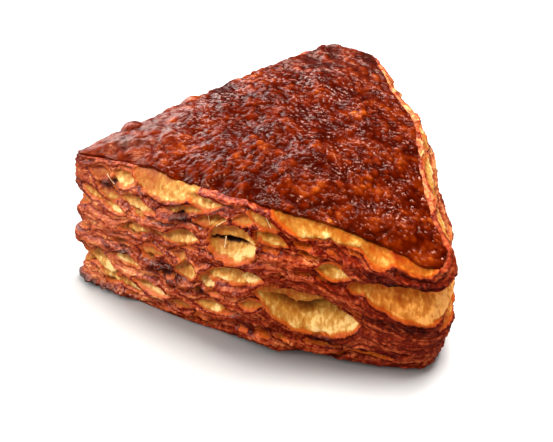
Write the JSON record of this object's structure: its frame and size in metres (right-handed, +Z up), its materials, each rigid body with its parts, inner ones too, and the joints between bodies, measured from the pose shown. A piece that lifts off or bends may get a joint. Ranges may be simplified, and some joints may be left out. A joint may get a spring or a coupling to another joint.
{
  "type": "pretzel croissant",
  "caption": "Thick triangular laminated pastry with a dark blistered domed crust, ridged flaky side walls with open air pockets, and a flat underside to stand on.",
  "frame": {"origin": "under the middle of the bounding box, on the surface the pastry stands on", "axes": "+X along the long front side towards the right as seen from the front, +Y from the front side to the back point, +Z up"},
  "size_m": [0.1217, 0.106, 0.056],
  "materials": {
    "baked_dough": "glossy mahogany crust on top, ragged brown ridges and pale buttery pockets on the sides"
  },
  "bodies": {
    "root": {"pastry": "baked_dough"}
  },
  "joints": []
}
